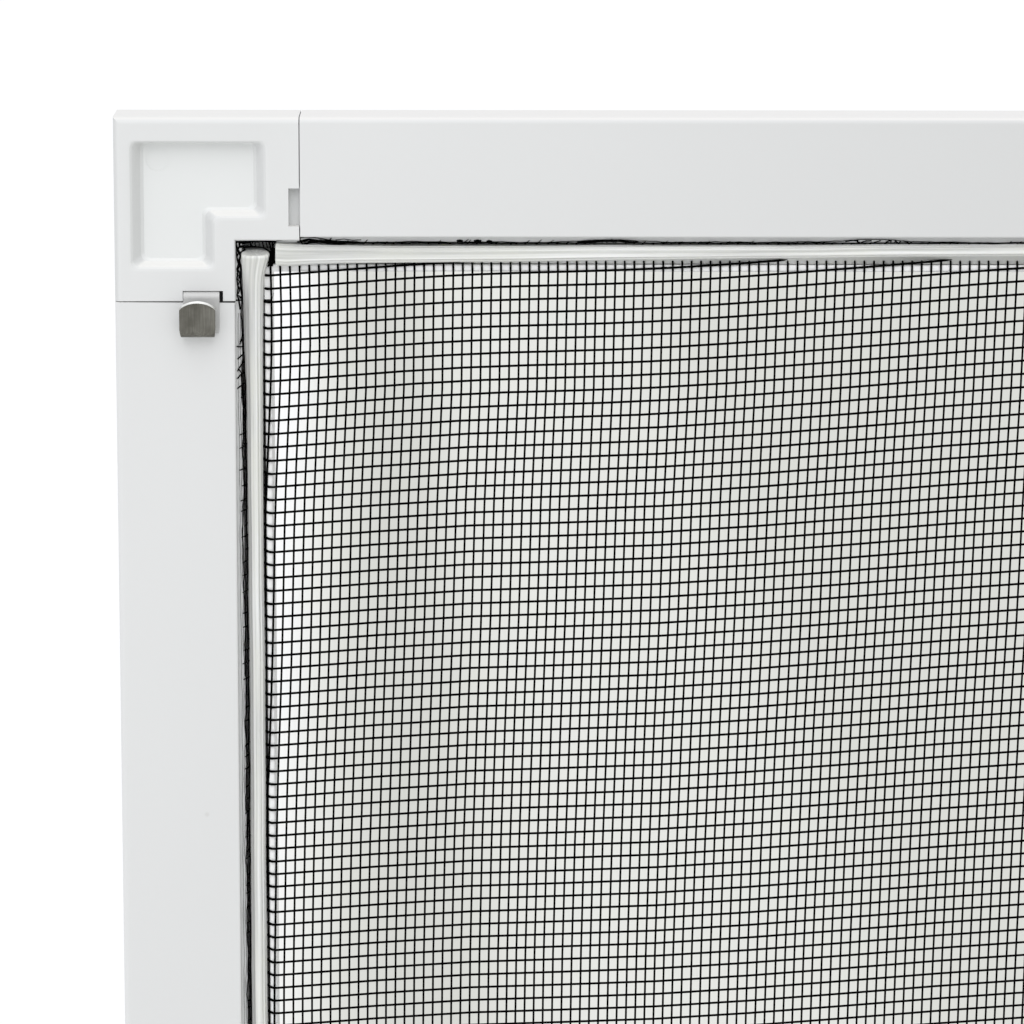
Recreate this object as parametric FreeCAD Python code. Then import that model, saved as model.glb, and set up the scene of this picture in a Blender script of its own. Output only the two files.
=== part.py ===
"""Insect screen for a window: extruded frame, moulded corners, mesh, splines and hanging clips.

Millimetres. +X is across the screen, +Z is up and -Y is the front, where the splines show.
The origin is the middle of the top rail's back face.

Pieces are drawn at the top left outer corner of the frame's back: a runs across, b runs down
and t runs forward from the back. Quarter turns then carry them round the frame.
"""
import FreeCAD, Part
import os
from math import cos, radians, sin, tan

# The whole screen
frame_width = 500.0
frame_height = 600.0

# Extruded profile, from its outer edge inwards
profile_depth = 10.0        # back face to front face
face_width = 18.2           # flat front face
ledge_width = 1.0           # step between the face and the groove
ledge_drop = 1.6            # step below the front face
groove_width = 3.4
inner_wall = 1.1            # wall between the groove and the opening
inner_wall_drop = 0.2       # its crest below the ledge
wall = 1.2                  # all other walls
small_chamber = 2.0         # clear height of the chamber under the groove
outer_edge_radius = 0.9     # front face to the outer edge
face_edge_radius = 0.3      # front face to the ledge
back_edge_radius = 0.4
crest_radius = 0.35

# Corner moulding
corner_size = 28.0
corner_edge_radius = 1.0
corner_side_overlap = 0.1   # moulded face beyond the upright profile's face
corner_top_overlap = 0.5    # moulded face beyond the level profile's face
joint_gap = 0.15            # between a profile's end and the moulding
recess_side_margin = 2.7    # outer edge beside the upright profile to the recess
recess_top_margin = 3.75    # outer edge along the level profile to the recess
recess_inner_corner = 15.0  # both outer edges to the inner corner of the recess
recess_end_margin = 5.2     # joint edges to the recess
recess_depth = 2.1
recess_side_draft = 1.45    # how far its upright walls lean in
recess_top_draft = 0.35     # how far its upper wall leans in
recess_foot_draft = 0.8     # how far its lower walls lean in
recess_rim_reach = 0.6      # how far the rounding of its rim goes, out and down
recess_top_rim_share = 0.4  # of that reach, outwards at the upper wall
recess_rim_steps = 3        # flats in that rounding
recess_floor_reach = 0.3    # slant between its walls and floor, in and up
recess_corner_radius = 1.1
pin_mark_offset = 6.6       # ejector pin mark, from both outer edges
pin_mark_radius = 1.8
pin_mark_depth = 0.12
notch_depth = 1.6           # seats for the clips, in both joint edges
notch_width = 6.1           # at the upright profile
notch_centre = 13.35        # from the outer edge
level_notch_width = 5.8     # at the level profile
level_notch_centre = 13.65

# Legs of the corner moulding, inside the profiles
leg_length = 38.0
leg_fit = 0.12              # play at the teeth and flat sides
leg_skin = 2.0
leg_tip = 1.5               # lead-in at the end
tooth_pitch = 9.0
tooth_height = 0.5
leg_rib = 1.6
leg_pockets = 2

# Mesh, its hem in the groove, and the splines
mesh_thickness = 0.3
mesh_play = 0.05            # to the walls that it lies on
tail_rise = 0.5             # cut edge of the mesh above the ledge
gap_columns = 9
gap_rows = 9
band_width = 9.2            # closed band between two gaps
warp_ridge_count = 3        # strands standing out on a band
ridge_width = 0.5
ridge_height = 0.15
warp_pitch = 1.45           # upright strands
weft_pitch = 2.02           # level strands
weft_ridge_count = 2
spline_rise = 0.9           # crown above the ledge
spline_play = 0.05          # to the hem
spline_crown_radius = 1.25
spline_flute = 0.14         # radius of the fine grooves along the crown
flute_angle = 32.0          # between two flutes
spline_corner_gap = 2.1     # upright spline's end to the corner moulding's face
spline_butt_gap = 1.8       # level spline's end to the upright one's hem

# Hanging clip of spring steel strip
clip_thickness = 0.4
clip_width = 5.45
clip_play = 0.05
clip_side_play = 0.1        # to the notch's outer side, where the clip is pushed
clip_rise = 1.55            # crest above the profile's end
clip_drop = 5.25            # fold below the profile's end
clip_leg = 8.0              # inside the profile
clip_throat = 2.0
paddle_rise = 0.7           # tip above the profile's end
paddle_crown = 1.3          # height of its arched tip
paddle_flare = 0.35         # tip leans out by this much
paddle_shift = 0.5          # fold and paddle stand this much to one side
paddle_bevel = 0.35         # front of the arched tip below its back
paddle_chamfer = 0.2        # lower corners taken off the fold
paddle_chamfer_length = 1.3

pick_tolerance = 0.01       # when an edge is looked for by its place

# Worked out from the sizes above
groove_outer = face_width + ledge_width
groove_inner = groove_outer + groove_width
profile_width = groove_inner + inner_wall
ledge_level = profile_depth - ledge_drop
crest_level = ledge_level - inner_wall_drop
floor_level = 2 * wall + small_chamber
hem_outer = groove_outer + mesh_play
hem_inner = groove_inner - mesh_play
hem_floor = floor_level + mesh_play
sheet_back = crest_level + mesh_play
sheet_front = sheet_back + mesh_thickness
sheet_edge = hem_inner - mesh_thickness
chamber_front = profile_depth - wall
chamber_inner = face_width - wall
clip_leg_front = chamber_front - clip_play
clip_leg_back = clip_leg_front - clip_thickness
notch_floor = clip_leg_back - clip_play
side_face = face_width + corner_side_overlap
top_face = face_width + corner_top_overlap
upright_start = top_face + spline_corner_gap
level_start = hem_inner + spline_butt_gap
top_edge = profile_width / 2


def outline(corners, to_space):
    """Closed wire through (p, q, radius) corners, each rounded by a tangent arc."""
    points = [FreeCAD.Vector(p, q, 0) for p, q, radius in corners]
    count = len(points)
    runs = []
    for i, (p, q, radius) in enumerate(corners):
        back = points[i - 1] - points[i]
        ahead = points[(i + 1) % count] - points[i]
        if radius == 0:
            runs.append((points[i], None, points[i]))
            continue
        half_angle = back.getAngle(ahead) / 2
        reach = min(radius / tan(half_angle), back.Length / 2, ahead.Length / 2)
        radius = reach * tan(half_angle)
        middle_way = (back.normalize() + ahead.normalize()).normalize()
        middle = points[i] + middle_way * (radius / sin(half_angle) - radius)
        runs.append((points[i] + back * reach, middle, points[i] + ahead * reach))
    edges = []
    for i, (start, middle, end) in enumerate(runs):
        if middle is not None:
            arc = Part.Arc(to_space(start), to_space(middle), to_space(end))
            edges.append(arc.toShape())
        following = runs[(i + 1) % count][0]
        if end.distanceToPoint(following) > pick_tolerance:
            edges.append(Part.LineSegment(to_space(end), to_space(following)).toShape())
    return Part.Wire(edges)


def front_view(a, b):
    """Point on the plane of the back, seen from the front."""
    return FreeCAD.Vector(a, 0, -b)


def plan_wire(corners, level):
    """Outline drawn on the front view as (a, b, radius), at one level t."""
    return outline(corners, lambda v: FreeCAD.Vector(v.x, -level, -v.y))


def plan_prism(corners, back, front):
    """Solid with a front-view outline, from level back to level front."""
    return Part.Face(plan_wire(corners, front)).extrude(FreeCAD.Vector(0, front - back, 0))


def rectangle(a0, b0, a1, b1):
    return [(a0, b0, 0), (a1, b0, 0), (a1, b1, 0), (a0, b1, 0)]


def plan_box(a0, b0, a1, b1, back, front):
    return plan_prism(rectangle(a0, b0, a1, b1), back, front)


def section_face(corners, start):
    """Face across a side of the frame, drawn as (u, t, radius) at distance start down it."""
    return Part.Face(outline(corners, lambda v: FreeCAD.Vector(v.x, -v.y, -start)))


def along(face, length):
    return face.extrude(FreeCAD.Vector(0, 0, -length))


def mirrored(shape):
    """The same shape with a and b exchanged."""
    across = FreeCAD.Vector(1, 0, 1)
    return shape.mirror(FreeCAD.Vector(0, 0, 0), across.normalize())


def placed(shape, turns):
    """Carry a shape from the top left corner to one of the four, clockwise from the front."""
    spots = [(-1, 0), (1, 0), (1, 1), (-1, 1)]
    side, drop = spots[turns]
    moved = shape.copy()
    moved.rotate(FreeCAD.Vector(0, 0, 0), FreeCAD.Vector(0, 1, 0), 90 * turns)
    moved.translate(FreeCAD.Vector(side * frame_width / 2, 0, top_edge - drop * frame_height))
    return moved


def extruded_side(side_length):
    """Hollow aluminium profile between two corner mouldings, with its spline groove."""
    start = corner_size + joint_gap
    length = side_length - 2 * start
    skin = section_face([
        (0, 0, back_edge_radius),
        (profile_width, 0, back_edge_radius),
        (profile_width, crest_level, crest_radius),
        (groove_inner, crest_level, crest_radius),
        (groove_inner, floor_level, 0),
        (groove_outer, floor_level, 0),
        (groove_outer, ledge_level, crest_radius / 2),
        (face_width, ledge_level, 0),
        (face_width, profile_depth, face_edge_radius),
        (0, profile_depth, outer_edge_radius),
    ], start)
    main_chamber = section_face(rectangle(wall, wall, chamber_inner, chamber_front), start)
    groove_chamber = section_face(rectangle(face_width, wall, groove_inner, wall + small_chamber), start)
    return along(skin.cut(main_chamber).cut(groove_chamber), length)


def corner_leg():
    """Toothed leg running down from the moulding's head into the upright profile."""
    near = corner_size
    tip = corner_size + leg_length
    left = wall + leg_fit
    right = chamber_inner - leg_fit
    back = wall + leg_fit
    front = chamber_front - leg_fit
    teeth = int((leg_length - leg_tip) // tooth_pitch)
    first = tip - leg_tip - teeth * tooth_pitch
    left_side = []
    right_side = []
    for i in range(teeth):
        root = first + (i + 1) * tooth_pitch
        left_side += [(left, root - tooth_pitch, 0), (left + tooth_height, root, 0)]
        right_side += [(right, root - tooth_pitch, 0), (right - tooth_height, root, 0)]
    lead_in = tooth_height + leg_tip
    outer = [(right, near, 0)] + right_side + [(right - lead_in, tip, 0), (left + lead_in, tip, 0)]
    leg = plan_prism(outer + left_side[::-1] + [(left, near, 0)], back, front)
    pocket_left = left + tooth_height + leg_rib
    pocket_right = right - tooth_height - leg_rib
    pitch = (leg_length - leg_tip) / leg_pockets
    for i in range(leg_pockets):
        top = near + i * pitch + leg_rib
        pocket = plan_box(pocket_left, top, pocket_right, top + pitch - leg_rib, back, front - leg_skin)
        leg = leg.cut(pocket)
    return leg


def recess_wire(inset, depth):
    """Outline of the L-shaped recess in the head at a depth, its leaning walls drawn in by inset."""
    side_inset = recess_side_draft * depth / recess_depth + inset
    top_inset = recess_top_draft * depth / recess_depth + inset * recess_top_rim_share
    foot_inset = recess_foot_draft * depth / recess_depth + inset
    end = corner_size - recess_end_margin
    radius = recess_corner_radius
    return plan_wire([
        (recess_side_margin + side_inset, recess_top_margin + top_inset, radius),
        (end - side_inset, recess_top_margin + top_inset, radius),
        (end - side_inset, recess_inner_corner - foot_inset, radius),
        (recess_inner_corner - side_inset, recess_inner_corner - foot_inset, radius),
        (recess_inner_corner - side_inset, end - foot_inset, radius),
        (recess_side_margin + side_inset, end - foot_inset, radius),
    ], profile_depth - depth)


def recess():
    """Solid of the recess, lofted through its rounded rim, leaning walls and slanted foot."""
    wires = []
    for step in range(recess_rim_steps + 1):
        share = step / recess_rim_steps
        wires.append(recess_wire(-recess_rim_reach * (1 - share) ** 2, recess_rim_reach * share ** 2))
    wires.append(recess_wire(0, recess_depth - recess_floor_reach))
    wires.append(recess_wire(recess_floor_reach, recess_depth))
    return Part.makeLoft(wires, True, True)


def edges_at(shape, level, wanted):
    """Edges that lie at one level t and whose middle point passes the test."""
    found = []
    for edge in shape.Edges:
        box = edge.BoundBox
        if max(abs(box.YMin + level), abs(box.YMax + level)) > pick_tolerance:
            continue
        middle = edge.valueAt((edge.FirstParameter + edge.LastParameter) / 2)
        if wanted(middle.x, -middle.z):
            found.append(edge)
    return found


def clip_seat(centre, width):
    """Notch in the head's lower joint edge and the channel for the clip's leg below it."""
    left = centre - width / 2
    right = centre + width / 2
    leg_room = corner_size + clip_leg + notch_depth
    notch = plan_box(left, corner_size - notch_depth, right, corner_size, notch_floor, profile_depth)
    channel = plan_box(left, corner_size, right, leg_room, notch_floor, chamber_front)
    return notch, channel


def corner_moulding():
    """Moulded corner: L-shaped head with recess, notches and groove, and two toothed legs."""
    size = corner_size
    head = plan_prism([
        (0, 0, 0),
        (size, 0, 0),
        (size, profile_width, 0),
        (profile_width, profile_width, 0),
        (profile_width, size, 0),
        (0, size, 0),
    ], 0, profile_depth)
    head = head.cut(plan_box(side_face, top_face, size, size, ledge_level, profile_depth))
    groove = plan_prism([
        (groove_outer, groove_outer, 0),
        (size, groove_outer, 0),
        (size, groove_inner, 0),
        (groove_inner, groove_inner, 0),
        (groove_inner, size, 0),
        (groove_outer, size, 0),
    ], floor_level, ledge_level)
    head = head.cut(groove)
    head = head.cut(plan_box(groove_inner, groove_inner, size, size, crest_level, ledge_level))
    outer_edges = edges_at(head, profile_depth, lambda a, b: min(a, b) < pick_tolerance)
    head = head.makeFillet(corner_edge_radius, outer_edges)
    step_edges = edges_at(head, profile_depth, lambda a, b: min(a, b) > side_face - pick_tolerance)
    head = head.makeFillet(face_edge_radius, step_edges)
    back_edges = edges_at(head, 0, lambda a, b: min(a, b) < pick_tolerance)
    head = head.makeChamfer(back_edge_radius, back_edges)
    head = head.cut(recess())
    mark = FreeCAD.Vector(pin_mark_offset, recess_depth - profile_depth, -pin_mark_offset)
    head = head.cut(Part.makeCylinder(pin_mark_radius, pin_mark_depth, mark, FreeCAD.Vector(0, 1, 0)))
    leg = corner_leg()
    body = head.fuse([leg, mirrored(leg)])
    for piece in clip_seat(notch_centre, notch_width):
        body = body.cut(piece)
    for piece in clip_seat(level_notch_centre, level_notch_width):
        body = body.cut(mirrored(piece))
    return body.removeSplitter()


def spline(side_length, start):
    """Fluted rubber cord pressed into the groove over the mesh."""
    left = hem_outer + mesh_thickness + spline_play
    right = sheet_edge - spline_play
    back = hem_floor + mesh_thickness + spline_play
    front = ledge_level + spline_rise
    radius = spline_crown_radius
    face = section_face([
        (left, back, 0),
        (right, back, 0),
        (right, front, radius),
        (left, front, radius),
    ], start)
    middle = (left + right) / 2
    crown_radius = min(radius, (right - left) / 2)
    for turn in (-flute_angle, 0, flute_angle):
        u = middle + crown_radius * sin(radians(turn))
        t = front - crown_radius + crown_radius * cos(radians(turn))
        centre = FreeCAD.Vector(u, -t, -start)
        ring = Part.Circle(centre, FreeCAD.Vector(0, 0, 1), spline_flute).toShape()
        face = face.cut(Part.Face(Part.Wire(ring)))
    return along(face, side_length - 2 * start)


def hem(side_length, start):
    """Edge of the mesh folded round the spline: down the groove, under it and up the far side."""
    tail = ledge_level + tail_rise
    face = section_face([
        (hem_inner, sheet_front, 0),
        (hem_inner, hem_floor, 0),
        (hem_outer, hem_floor, 0),
        (hem_outer, tail, 0),
        (hem_outer + mesh_thickness, tail, 0),
        (hem_outer + mesh_thickness, hem_floor + mesh_thickness, 0),
        (sheet_edge, hem_floor + mesh_thickness, 0),
        (sheet_edge, sheet_front, 0),
    ], start)
    return along(face, side_length - 2 * start)


def strands(middle, count, pitch):
    """Places of the strands that stand out on one band, about its middle line."""
    first = middle - pitch * (count - 1) / 2
    return [first + i * pitch for i in range(count)]


def insect_mesh():
    """Mesh in one sheet: ridged bands round rows of gaps, with its hem on all four sides."""
    far_a = frame_width - profile_width
    far_b = frame_height - profile_width
    column_pitch = (far_a - profile_width) / gap_columns
    row_pitch = (far_b - profile_width) / gap_rows
    half_band = band_width / 2
    half_ridge = ridge_width / 2
    edge = rectangle(sheet_edge, sheet_edge, frame_width - sheet_edge, frame_height - sheet_edge)
    wires = [plan_wire(edge, sheet_front)]
    for column in range(gap_columns):
        for row in range(gap_rows):
            left = profile_width + column * column_pitch
            top = profile_width + row * row_pitch
            gap = rectangle(left + half_band, top + half_band,
                            left + column_pitch - half_band, top + row_pitch - half_band)
            wires.append(plan_wire(gap, sheet_front))
    sheet = Part.Face(wires, "Part::FaceMakerBullseye").extrude(FreeCAD.Vector(0, mesh_thickness, 0))
    pieces = []
    for column in range(1, gap_columns):
        for a in strands(profile_width + column * column_pitch, warp_ridge_count, warp_pitch):
            pieces.append(plan_box(a - half_ridge, profile_width, a + half_ridge, far_b,
                                   sheet_back - ridge_height, sheet_back))
    for row in range(1, gap_rows):
        for b in strands(profile_width + row * row_pitch, weft_ridge_count, weft_pitch):
            pieces.append(plan_box(profile_width, b - half_ridge, far_a, b + half_ridge,
                                   sheet_front, sheet_front + ridge_height))
    upright_hem = hem(frame_height, upright_start)
    level_hem = hem(frame_width, sheet_edge)
    whole = placed(sheet.fuse(pieces), 0)
    hems = [placed(upright_hem, 0), placed(level_hem, 1), placed(upright_hem, 2), placed(level_hem, 3)]
    return whole.fuse(hems).removeSplitter()


def hanging_clip():
    """Spring strip hooked over the upright profile's front wall and folded back into a paddle."""
    crest = corner_size - clip_rise
    fold = corner_size + clip_drop
    tip = corner_size - paddle_rise
    leaf_back = profile_depth + clip_play
    leaf_front = leaf_back + clip_thickness
    paddle_back = leaf_front + clip_throat
    paddle_front = paddle_back + clip_thickness
    leg_end = corner_size + clip_leg
    bend = tip + paddle_crown
    outer_hook = (leaf_front - clip_leg_back) / 2
    inner_hook = (leaf_back - clip_leg_front) / 2
    outer_fold = (paddle_front - leaf_back) / 2
    inner_fold = clip_throat / 2
    side_view = [
        (leg_end, clip_leg_back, 0),
        (crest, clip_leg_back, outer_hook),
        (crest, leaf_front, outer_hook),
        (fold - clip_thickness, leaf_front, inner_fold),
        (fold - clip_thickness, paddle_back, inner_fold),
        (bend, paddle_back, 0),
        (tip, paddle_back + paddle_flare, 0),
        (tip, paddle_front + paddle_flare, 0),
        (bend, paddle_front, 0),
        (fold, paddle_front, outer_fold),
        (fold, leaf_back, outer_fold),
        (crest + clip_thickness, leaf_back, inner_hook),
        (crest + clip_thickness, clip_leg_front, inner_hook),
        (leg_end, clip_leg_front, 0),
    ]
    left = notch_centre - notch_width / 2 + clip_side_play
    right = left + clip_width
    middle = (left + right) / 2
    profile = Part.Face(outline(side_view, lambda v: FreeCAD.Vector(left, -v.y, -v.x)))
    strip = profile.extrude(FreeCAD.Vector(clip_width, 0, 0))
    high = crest - clip_leg  # clear of the tip
    arch = Part.Arc(front_view(left, bend), front_view(middle, tip), front_view(right, bend)).toShape()
    above = Part.makePolygon([front_view(right, bend), front_view(right, high),
                              front_view(left, high), front_view(left, bend)])
    reach = paddle_front + paddle_flare + clip_thickness
    slope = paddle_bevel / clip_thickness
    trim = Part.Face(Part.Wire([arch] + above.Edges))
    trim.translate(FreeCAD.Vector(0, -reach, slope * (paddle_back - reach)))
    strip = strip.cut(trim.extrude(FreeCAD.Vector(0, reach - leaf_front, slope * (reach - leaf_front))))
    lean = paddle_chamfer_length
    for side, inward in ((left, paddle_chamfer), (right, -paddle_chamfer)):
        corner = [(side, fold - lean, 0), (side + inward, fold, 0), (side, fold, 0)]
        strip = strip.cut(plan_prism(corner, profile_depth, reach))
    front_half = plan_box(left, crest, right, fold, leaf_front, reach)
    paddle = strip.common(front_half)
    paddle.translate(FreeCAD.Vector(-paddle_shift, 0, 0))
    return strip.cut(front_half).fuse(paddle).removeSplitter()


def all_nodes():
    """Every piece of the screen by name."""
    corner = corner_moulding()
    clip = hanging_clip()
    sides = ["left", "top", "right", "bottom"]
    nodes = {"insect_mesh": insect_mesh()}
    for turns, side in enumerate(sides):
        upright = side in ("left", "right")
        length = frame_height if upright else frame_width
        start = upright_start if upright else level_start
        bar = "stile" if upright else "rail"
        nodes[side + "_" + bar] = placed(extruded_side(length), turns)
        nodes["spline_" + side] = placed(spline(length, start), turns)
    for turns, spot in enumerate(["top_left", "top_right", "bottom_right", "bottom_left"]):
        nodes["corner_" + spot] = placed(corner, turns)
    across = FreeCAD.Vector(frame_width - 2 * notch_centre, 0, 0)
    for turns, near, far, way in ((0, "top_left", "top_right", 1), (2, "bottom_right", "bottom_left", -1)):
        nodes["clip_" + near] = placed(clip, turns)
        beside = placed(clip, turns)
        beside.translate(across * way)
        nodes["clip_" + far] = beside
    return nodes


os.makedirs("parts", exist_ok=True)
for name, shape in all_nodes().items():
    shape.exportStep("parts/" + name + ".step")
    print(name, len(shape.Solids), "solid", round(shape.Volume, 1), "mm3", shape.isValid())
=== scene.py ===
import math

import bpy
import numpy as np
from mathutils import Matrix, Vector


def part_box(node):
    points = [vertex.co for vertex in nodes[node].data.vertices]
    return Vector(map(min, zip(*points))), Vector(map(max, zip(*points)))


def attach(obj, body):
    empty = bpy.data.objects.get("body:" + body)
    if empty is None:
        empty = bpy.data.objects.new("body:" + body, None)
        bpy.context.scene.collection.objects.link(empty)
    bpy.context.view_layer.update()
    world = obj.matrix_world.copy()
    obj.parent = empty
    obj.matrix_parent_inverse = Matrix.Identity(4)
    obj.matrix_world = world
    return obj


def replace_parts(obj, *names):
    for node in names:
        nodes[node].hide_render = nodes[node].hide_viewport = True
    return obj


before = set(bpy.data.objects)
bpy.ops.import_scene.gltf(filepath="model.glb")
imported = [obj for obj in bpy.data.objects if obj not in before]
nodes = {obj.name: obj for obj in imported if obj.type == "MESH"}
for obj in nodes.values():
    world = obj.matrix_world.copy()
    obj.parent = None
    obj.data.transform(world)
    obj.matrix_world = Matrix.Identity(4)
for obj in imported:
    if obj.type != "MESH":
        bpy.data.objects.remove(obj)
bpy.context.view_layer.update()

mm = 0.001
print("frame loaded,", len(nodes), "nodes")


# the screen's outline and its groove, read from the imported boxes
def boxOf(node):
    return np.array([list(corner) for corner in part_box(node)])


leftEdge, topEdge = boxOf("corner_top_left")[0, 0], boxOf("corner_top_left")[1, 2]
rightEdge, bottomEdge = boxOf("corner_bottom_right")[1, 0], boxOf("corner_bottom_right")[0, 2]
backFace, frontFace = boxOf("left_stile")[1, 1], boxOf("left_stile")[0, 1]
screenWide, screenHigh = rightEdge - leftEdge, topEdge - bottomEdge
splineIn = boxOf("spline_left")[:, 0] - leftEdge
splineForward = backFace - boxOf("spline_left")[::-1, 1]
sideNames = ("left", "top", "right", "bottom")
uprightSides, levelSides = ("left", "right"), ("top", "bottom")


# a place on a side: along it from the top left, inward from its outer edge, forward from the back
def sidePlace(side, along, inward, forward):
    along, inward, forward = np.broadcast_arrays(along, inward, forward)
    across = {"left": leftEdge + inward, "right": rightEdge - inward}.get(side, leftEdge + along)
    height = {"top": topEdge - inward, "bottom": bottomEdge + inward}.get(side, topEdge - along)
    return np.stack([across, backFace - forward, height], axis=-1)


# profiles carried along paths: each ring's corners join the next ring's, and a face closes each end
def ringFaces(count, steps, corners):
    strand, step, corner = np.indices((count, steps - 1, corners))
    ring = (strand * steps + step) * corners
    after = (corner + 1) % corners
    sides = np.stack([ring + corner, ring + after, ring + corners + after, ring + corners + corner], axis=-1)
    first = np.arange(count)[:, None] * steps * corners + np.arange(corners)[None, ::-1]
    last = (np.arange(count)[:, None] * steps + steps - 1) * corners + np.arange(corners)[None, :]
    return sides.reshape(-1, 4), np.concatenate([first, last])


# six times the volume that the faces enclose, summed as fans about each face's first corner
def enclosed(points, faces):
    fan = points[faces]
    turns = np.cross(fan[:, 1:-1], fan[:, 2:])
    return np.einsum("ik,ijk->", fan[:, 0], turns)


class Batch:
    # gathers closed tubes, and turns those that face inwards
    def __init__(self):
        self.points, self.faces, self.uv, self.size = [], [], [], 0

    def add(self, rings, uv=None):
        count, steps, corners = rings.shape[:3]
        points = rings.reshape(-1, 3)
        sides, ends = ringFaces(count, steps, corners)
        middle = points - points.mean(axis=0)
        if enclosed(middle, sides) + enclosed(middle, ends) < 0:
            sides, ends = sides[:, ::-1], ends[:, ::-1]
        self.points.append(points)
        self.faces += (sides + self.size).tolist() + (ends + self.size).tolist()
        self.uv.append(np.zeros((len(points), 2)) if uv is None else uv.reshape(-1, 2))
        self.size += len(points)

    def piece(self, name, material, slotName):
        mesh = bpy.data.meshes.new(name)
        mesh.from_pydata(np.concatenate(self.points).tolist(), [], self.faces)
        mesh.polygons.foreach_set("use_smooth", np.ones(len(mesh.polygons), bool))
        corner = np.empty(len(mesh.loops), np.int32)
        mesh.loops.foreach_get("vertex_index", corner)
        mesh.uv_layers.new(name="surface").data.foreach_set("uv", np.concatenate(self.uv)[corner].ravel())
        mesh.materials.append(material)
        mesh.update()
        piece = bpy.data.objects.new(name, mesh)
        bpy.context.scene.collection.objects.link(piece)
        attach(piece, "root")
        print(name, "has", sum(len(face) - 2 for face in self.faces), "triangles")
        return piece


# square section of a strand, its corners on the two axes given
def strandSection(axisOne, axisTwo, thick):
    one, two = np.array(axisOne, float), np.array(axisTwo, float)
    return np.stack([one, two, -one, -two]) * thick / 2


# a yarn along a path in the screen's plane: its square section stands across its heading at each step
def yarnAlong(path, thick):
    aside = np.cross(np.gradient(path, axis=0), (0, 1, 0))
    aside = aside / np.linalg.norm(aside, axis=-1, keepdims=True)
    depth = np.broadcast_to((0.0, 1.0, 0.0), aside.shape)
    return (path[:, None, :] + np.stack([aside, depth, -aside, -depth], axis=1) * thick / 2)[None]


# a slow uneven wave: sines of falling reach and shorter length, with seeded phases
waveShares, waveLengths, lengthScatter = np.array([0.5, 0.3, 0.2]), np.array([1.0, 0.43, 0.19]), (0.85, 1.15)


def unevenWave(along, reach, longest, seed):
    draw = np.random.default_rng(seed)
    length = longest * waveLengths * draw.uniform(*lengthScatter, len(waveLengths))
    phase = draw.uniform(0, 2 * math.pi, len(waveLengths))
    angle = 2 * math.pi * np.asarray(along)[..., None] / length + phase
    return reach * np.sum(waveShares * np.sin(angle), axis=-1)


# one at no distance, falling smoothly away on either side
def bell(distance, length):
    return np.exp(-(distance / length) ** 2)


# what the shader trees are made of
def newGroup(name, inputs, outputs):
    tree = bpy.data.node_groups.new(name, "ShaderNodeTree")
    for socket, kind, value in inputs:
        made = tree.interface.new_socket(name=socket, in_out="INPUT", socket_type=kind)
        if value is not None:
            made.default_value = value
    for socket, kind in outputs:
        tree.interface.new_socket(name=socket, in_out="OUTPUT", socket_type=kind)
    return tree, tree.nodes.new("NodeGroupInput"), tree.nodes.new("NodeGroupOutput")


def feed(tree, value, socket):
    if isinstance(value, bpy.types.NodeSocket):
        tree.links.new(value, socket)
    else:
        socket.default_value = value


def reckon(tree, operation, *values):
    node = tree.nodes.new("ShaderNodeMath")
    node.operation = operation
    for value, socket in zip(values, node.inputs):
        feed(tree, value, socket)
    return node.outputs["Value"]


def vectorReckon(tree, operation, *values):
    node = tree.nodes.new("ShaderNodeVectorMath")
    node.operation = operation
    for value, socket in zip(values, node.inputs):
        feed(tree, value, socket)
    return node.outputs


def partsOf(tree, vector):
    node = tree.nodes.new("ShaderNodeSeparateXYZ")
    tree.links.new(vector, node.inputs["Vector"])
    return node.outputs


# which way a face looks
def facingOf(tree):
    return partsOf(tree, tree.nodes.new("ShaderNodeNewGeometry").outputs["True Normal"])


def noise(tree, vector, scale, detail, roughness):
    node = tree.nodes.new("ShaderNodeTexNoise")
    for socket, value in (("Vector", vector), ("Scale", scale), ("Detail", detail), ("Roughness", roughness)):
        feed(tree, value, node.inputs[socket])
    return node.outputs["Fac"]


def spread(tree, value, low, high, fromLow=0.3, fromHigh=0.7):
    node = tree.nodes.new("ShaderNodeMapRange")
    for socket, amount in (("From Min", fromLow), ("From Max", fromHigh), ("To Min", low), ("To Max", high)):
        node.inputs[socket].default_value = amount
    tree.links.new(value, node.inputs["Value"])
    return node.outputs["Result"]


def blendColour(tree, factor, one, two):
    node = tree.nodes.new("ShaderNodeMix")
    node.data_type = "RGBA"
    tree.links.new(factor, node.inputs["Factor"])
    for name, colour in (("A", one), ("B", two)):
        target = [socket for socket in node.inputs if socket.name == name and socket.type == "RGBA"][0]
        feed(tree, (*colour, 1) if isinstance(colour, tuple) else colour, target)
    return [socket for socket in node.outputs if socket.type == "RGBA"][0]


# several masks at once: their product
def allOf(tree, masks):
    whole = masks[0]
    for mask in masks[1:]:
        whole = reckon(tree, "MULTIPLY", whole, mask)
    return whole


# grain: a fine skin for the bump, and broad clouds for tone and gloss
def makeGrainGroup():
    tree, inside, outside = newGroup(
        "finishGrain",
        [("Vector", "NodeSocketVector", None), ("Fine Scale", "NodeSocketFloat", 900.0),
         ("Broad Scale", "NodeSocketFloat", 20.0)],
        [("Fine", "NodeSocketFloat"), ("Broad", "NodeSocketFloat")])
    for name, detail, roughness in (("Fine", 3, 0.55), ("Broad", 4, 0.5)):
        grain = noise(tree, inside.outputs["Vector"], inside.outputs[name + " Scale"], detail, roughness)
        tree.links.new(grain, outside.inputs[name])
    return tree


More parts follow.
